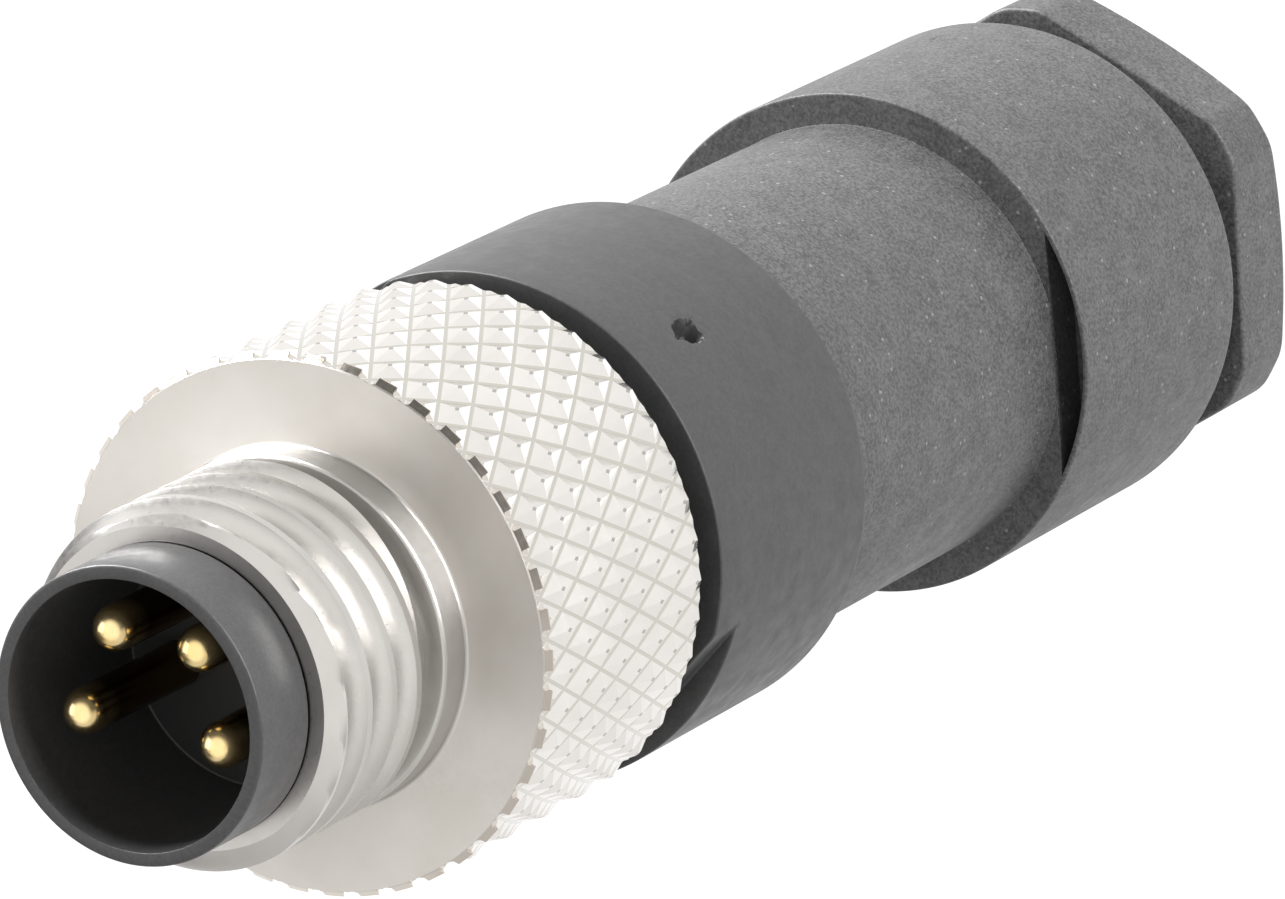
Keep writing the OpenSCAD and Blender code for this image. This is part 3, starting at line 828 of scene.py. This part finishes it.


# Nickel: where one finish ends and the next begins, where the painted shade of the knurl's grooves and end
# flats and the darker tone of its tips begin, in mm, and how far a flank with a painted highlight turns
FACE_EDGE = FACE - 0.03
COLLAR_EDGE_R = COLLAR_R + 0.05
COLLAR_EDGE_TOP = COLLAR_TOP + 0.02
GROOVE_EDGE_R = KNURL_ROOT_R + 0.006
TIP_EDGE_R = KNURL_TIP_R - 0.008
END_FLAT_BOTTOM = FACE - KNURL_BEVEL - 0.06
END_FLAT_R = KNURL_EDGE_R + 0.02
HIGHLIGHT_FLANK_SIDEWAYS = 0.15
HIGHLIGHT_FLANK_BACKWARD = 0.08
LATHE_MARK = 0.05


def nickel():
    look = Look("nickel_plate")
    height, radius = look.axis_parts()
    cloud = look.noise(2.2)
    fine = look.noise(0.12, 4)
    above_knurl = look.above(height, FACE_EDGE * MM)
    off_thread = look.above(radius, COLLAR_EDGE_R * MM)
    in_shaded_groove = look.below(radius, GROOVE_EDGE_R * MM)
    on_tip = look.above(radius, TIP_EDGE_R * MM)
    on_end_flat = look.both(look.above(height, END_FLAT_BOTTOM * MM), look.above(radius, END_FLAT_R * MM))
    knurl = look.ramp(cloud, (0.675, 0.65, 0.62), (0.75, 0.73, 0.70))
    # Painted highlight: one flank of each knurl tooth, the one that looks back and to one side, is painted
    # brighter
    knurl = look.mix(look.painted_highlight_flank(), knurl, (0.95, 0.94, 0.92))
    # Painted shade: the knurl's grooves are painted darker, where the teeth beside them shade them
    knurl = look.mix(in_shaded_groove, knurl, (0.56, 0.54, 0.49))
    knurl = look.mix(on_tip, knurl, (0.42, 0.40, 0.375))
    # Painted shade: the flats that the bevel cuts on the teeth's ends are painted darker and warmer
    knurl = look.mix(on_end_flat, knurl, (0.62, 0.57, 0.51))
    thread = look.ramp(cloud, (0.52, 0.505, 0.485), (0.60, 0.585, 0.565))
    face = look.ramp(cloud, (0.545, 0.52, 0.485), (0.60, 0.58, 0.55))
    look.colour(look.mix(above_knurl, knurl, look.mix(off_thread, thread, face)))
    satin = look.both(above_knurl, look.below(height, COLLAR_EDGE_TOP * MM))
    dull = look.blend(satin, 0.06, above_knurl, 0.1)
    look.roughness(look.math("ADD", look.span(fine, 0.17, 0.23), dull))
    rings = look.math("SINE", look.math("MULTIPLY", radius, 2 * math.pi / (LATHE_MARK * MM)), 0)
    look.bump(look.blend(rings, 0.12, fine, 0.35), 0.003, 0.3)
    look.turned(look.math("MULTIPLY", satin, 0.5))
    look.constant(metallic=1.0)
    return look


# Contacts: painted shade deep in the cavity, fading out between these two heights, and bright from there up
# to their tips
CONTACT_FULL_SHADE_Z = FACE + 5.35
CONTACT_SHADE_END_Z = FACE + 5.85


def gold():
    look = Look("gold_plate")
    height, _ = look.axis_parts()
    bright = look.ramp(look.noise(0.5), (0.90, 0.66, 0.29), (0.97, 0.79, 0.44))
    unshaded = look.span(height, 0, 1, CONTACT_FULL_SHADE_Z * MM, CONTACT_SHADE_END_Z * MM)
    # Painted shade: the contacts are painted dark brown below their tips, where the cavity shades them
    look.colour(look.mix(unshaded, (0.2, 0.125, 0.045), bright))
    look.roughness(look.span(look.noise(0.1), 0.16, 0.26))
    look.bump(look.noise(0.06), 0.002, 0.3)
    look.constant(metallic=1.0)
    return look


def screw_steel():
    look = Look("zinc_steel")
    look.colour(look.ramp(look.noise(0.4, 4), (0.45, 0.45, 0.44), (0.66, 0.66, 0.65)))
    look.roughness(look.span(look.noise(0.15), 0.28, 0.42))
    look.bump(look.noise(0.08), 0.003, 0.4)
    look.constant(metallic=1.0)
    return look


# Radii inside which painted shade darkens the insert and the housing
INSERT_SHADE_R = CAVITY_R - 0.01
HOUSING_SHADE_R = SHANK_R + 0.2
INSERT = moulded("insert_plastic", (0.037, 0.037, 0.038), (0.052, 0.051, 0.053),
                 grain_mm=0.09, rough=0.42, bump_mm=0.004, gloss=0.5, painted_shade_r_mm=INSERT_SHADE_R)
FRONT = moulded("front_plastic", (0.027, 0.0265, 0.0275), (0.038, 0.0375, 0.0385),
                grain_mm=0.1, rough=0.48, bump_mm=0.005, gloss=0.5)
HOUSING = moulded("housing_plastic", (0.031, 0.031, 0.0325), (0.086, 0.086, 0.088),
                  grain_mm=0.085, rough=0.52, bump_mm=0.012, gloss=0.5,
                  speck=(0.15, 0.15, 0.15), speck_share=0.05, painted_shade_r_mm=HOUSING_SHADE_R)
CLAMP = moulded("clamp_plastic", (0.55, 0.54, 0.50), (0.68, 0.67, 0.62),
                grain_mm=0.2, rough=0.5, bump_mm=0.005)
RUBBER = moulded("seal_rubber", (0.012, 0.012, 0.013), (0.026, 0.026, 0.028),
                 grain_mm=0.15, rough=0.75, bump_mm=0.008)
NICKEL = nickel()
GOLD = gold()
STEEL = screw_steel()


def dress(piece, look):
    piece.data.materials.clear()
    piece.data.materials.append(look.material)


# Pieces that stand for CAD nodes
for build, node, body, slot, look in (
    (contact_insert, "contact_insert", "front", "insert_plastic", INSERT),
    (coupling_screw, "coupling_screw", "coupling", "nickel", NICKEL),
    (front_ring, "front_ring", "front", "front_plastic", FRONT),
    (rear_housing, "rear_housing", "housing", "housing_plastic", HOUSING),
    (pressing_screw, "pressing_screw", "nut", "housing_plastic", HOUSING),
):
    made_piece = build()
    dress(made_piece, look)
    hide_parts(node)
    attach(made_piece, body)

# Threads that show when the housing or the pressing screw is undone
for name, body, slot, look, core, crest, bottom, top in (
    ("spigot_thread", "front", "front_plastic", FRONT,
     SPIGOT_CORE_R, SPIGOT_R, SPIGOT_RIDGE_BOTTOM, SPIGOT_RIDGE_TOP),
    ("shank_thread", "nut", "housing_plastic", HOUSING,
     SHANK_CORE_R, SHANK_R, SHANK_RIDGE_BOTTOM, SHANK_RIDGE_TOP),
):
    ridge = thread_ridge(name, core, crest, bottom, top)
    dress(ridge, look)
    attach(ridge, body)

# CAD nodes that keep their shape
KEPT_WELD = 0.001
KEPT_SHARP = 30
KEPT = {"terminal_carrier": INSERT, "stem_seal": RUBBER, "housing_gasket": RUBBER,
        "cable_seal": RUBBER, "clamp_collet": CLAMP, "thrust_washer": CLAMP}
for i in CONTACTS:
    KEPT[f"contact_pin_{i}"] = GOLD
    KEPT[f"terminal_screw_{i}"] = STEEL
for node, look in KEPT.items():
    kept = frame["nodes"][node]
    dress(kept, look)
    kept.data.polygons.foreach_set("use_smooth", [True] * len(kept.data.polygons))
    weld = kept.modifiers.new("weld", "WELD")
    weld.merge_threshold = KEPT_WELD * MM
    split = kept.modifiers.new("edges", "EDGE_SPLIT")
    split.split_angle = math.radians(KEPT_SHARP)

# Floor, light and camera. The camera's axes are in the CAD frame, and the floor's half is in metres
FLOOR_HALF = 1.2
FLOOR_GAP = 0.2
FLOOR_GLOW = 0.88
SKY = 1.28
AIM = 20.0
IMAGE_RIGHT = Vector((-0.4544, -0.7434, -0.4908))
IMAGE_UP = Vector((0.8908, -0.3792, -0.2503))
TO_CAMERA = Vector((0, -0.5509, 0.8346))
CAMERA_PLACE = Vector((0.08, -123.85, 209.37))
LENS = 280.2
SENSOR = 36


def floor():
    mesh = bpy.data.meshes.new("floor")
    corners = [(x * FLOOR_HALF, y * FLOOR_HALF, 0) for x, y in ((-1, -1), (1, -1), (1, 1), (-1, 1))]
    mesh.from_pydata(corners, [], [(0, 1, 2, 3)])
    plane = add("floor", mesh)
    # The rear parts come down when they are unscrewed, so the floor lies as low as their slides reach
    slides = [j for j in frame["record"]["behaviour"]["joints"] if j["type"] == "slide"]
    plane.location.z = -sum(j["range_m"][1] for j in slides) - FLOOR_GAP * MM
    look = Look("pale_floor")
    look.colour(look.ramp(look.noise(40, 2), (0.16, 0.16, 0.16), (0.18, 0.18, 0.18)))
    look.constant(roughness=0.9, specular_ior_level=0.0, emission_color=(1, 1, 1, 1),
                  emission_strength=FLOOR_GLOW)
    dress(plane, look)


def softbox(name, clock, elevation, distance, width, height, radiance, aim=AIM):
    """Area light of a given radiance that faces a point of the axis, from a clock angle and an elevation."""
    a, e = math.radians(clock), math.radians(elevation)
    direction = Vector((math.cos(a) * math.cos(e), math.sin(a) * math.cos(e), math.sin(e)))
    light = bpy.data.lights.new(name, "AREA")
    light.shape = "RECTANGLE"
    light.size, light.size_y = width * MM, height * MM
    light.energy = radiance * math.pi * light.size * light.size_y
    lamp = add(name, light)
    lamp.location = (Vector((0, 0, aim)) + direction * distance) * MM
    lamp.rotation_mode = "QUATERNION"
    lamp.rotation_quaternion = direction.to_track_quat("Z", "Y")
    lamp.visible_camera = False


def camera():
    data = bpy.data.cameras.new("photo_camera")
    data.sensor_width = SENSOR
    data.lens = LENS
    data.clip_start, data.clip_end = 0.01, 10
    eye = add("photo_camera", data)
    turn = Matrix((IMAGE_RIGHT, IMAGE_UP, TO_CAMERA)).transposed()
    eye.matrix_world = Matrix.Translation(CAMERA_PLACE * MM) @ turn.to_4x4()
    bpy.context.scene.camera = eye


def world():
    made = bpy.data.worlds.new("studio")
    made.use_nodes = True
    nodes, links = made.node_tree.nodes, made.node_tree.links
    back = nodes["Background"]
    split = nodes.new("ShaderNodeSeparateXYZ")
    links.new(nodes.new("ShaderNodeTexCoord").outputs["Generated"], split.inputs["Vector"])

    def grade(axis, start, end, low, high):
        node = map_range(nodes, links, split.outputs[axis], low, high, start, end)
        node.interpolation_type = "SMOOTHSTEP"
        return node.outputs["Result"]

    # A dark horizon, lighter on one side, below a bright sky. Sockets 2 and 3 are the mix node's numbers
    strength = nodes.new("ShaderNodeMix")
    links.new(grade("X", start=-0.6, end=-0.15, low=0.75, high=0.13), strength.inputs[2])
    links.new(grade("Z", start=0.52, end=0.84, low=0, high=1), strength.inputs["Factor"])
    strength.inputs[3].default_value = SKY
    links.new(strength.outputs[0], back.inputs["Strength"])
    back.inputs["Color"].default_value = (1, 0.985, 0.965, 1)
    bpy.context.scene.world = made


floor()
world()
softbox("key", clock=12, elevation=5, distance=250, width=160, height=80, radiance=44)
softbox("fill", clock=-88, elevation=4, distance=300, width=260, height=76, radiance=20)
softbox("back", clock=52, elevation=38, distance=200, width=140, height=100, radiance=1.5, aim=FACE)
camera()
bpy.context.scene.view_settings.view_transform = "Standard"
